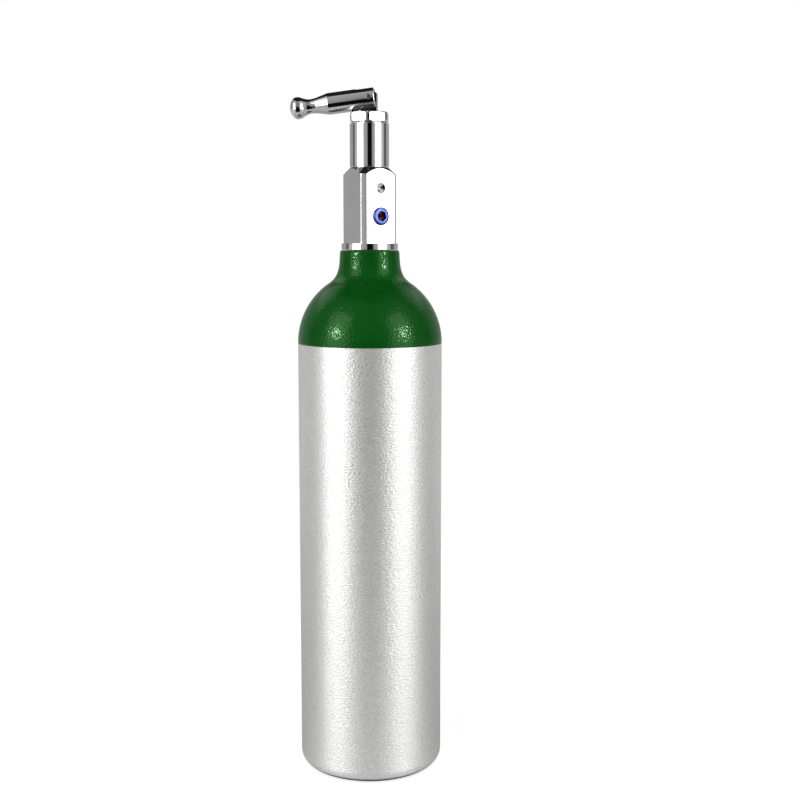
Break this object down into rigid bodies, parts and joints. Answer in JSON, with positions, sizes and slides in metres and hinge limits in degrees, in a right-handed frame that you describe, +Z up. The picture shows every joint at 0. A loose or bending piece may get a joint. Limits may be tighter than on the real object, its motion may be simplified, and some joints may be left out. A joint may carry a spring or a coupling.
{
  "type": "oxygen cylinder",
  "caption": "Small free-standing aluminium oxygen cylinder with a green shoulder, a pin-index post valve and a folding lever handle on top.",
  "frame": {"origin": "centre of the base on the cylinder's own axis, where it stands", "axes": "+Z up along the cylinder and valve axis; -Y towards the viewer of the picture; -X along the folded lever; the square post is turned 32.5 degrees about +Z"},
  "size_m": [0.0848, 0.0814, 0.3861],
  "materials": {
    "bare_aluminium": "brushed",
    "green_enamel": "gloss",
    "black_rubber": "matte",
    "chrome_plate": "polished",
    "brass": "machined",
    "white_nylon": "matte",
    "copper": "satin",
    "blue_anodised": "gloss anodised",
    "polished_steel": "polished"
  },
  "bodies": {
    "cylinder": {"cylinder_shell": "bare_aluminium", "shoulder_paint": "green_enamel", "neck_o_ring": "black_rubber", "valve_body": "chrome_plate", "dip_tube": "brass", "relief_gasket": "white_nylon", "burst_disc": "copper", "relief_plug": "blue_anodised", "bonnet_nut": "chrome_plate", "bonnet_gasket": "white_nylon"},
    "spindle": {"spindle": "polished_steel", "spindle_o_ring_lower": "black_rubber", "spindle_o_ring_upper": "black_rubber", "backup_ring_lower": "white_nylon", "backup_ring_upper": "white_nylon", "thrust_washer": "white_nylon"},
    "lever": {"lever": "chrome_plate", "lever_pin": "polished_steel"},
    "seat": {"seat_insert": "white_nylon"},
    "plug": {"lower_plug": "brass"}
  },
  "joints": [
    {"name": "spindle_turn", "type": "hinge", "parent": "cylinder", "child": "spindle", "pos_m": [0, 0, 0.37], "axis": [0, 0, 1], "range_deg": [0, 270]},
    {"name": "lever_fold", "type": "hinge", "parent": "spindle", "child": "lever", "pos_m": [0, 0, 0.38108], "axis": [0.1045, 0.9945, 0], "range_deg": [0, 198]},
    {"name": "seat_lift", "type": "slide", "parent": "cylinder", "child": "seat", "axis": [0, 0, 1], "range_m": [0, 0.00096]},
    {"name": "plug_turn", "type": "hinge", "parent": "seat", "child": "plug", "pos_m": [0, 0, 0.342], "axis": [0, 0, 1], "range_deg": [0, 270]}
  ],
  "couplings": [
    {"joint": "plug_turn", "follows": "spindle_turn", "ratio": 1},
    {"joint": "seat_lift", "follows": "spindle_turn", "m_per_rad": 0.00020213}
  ]
}
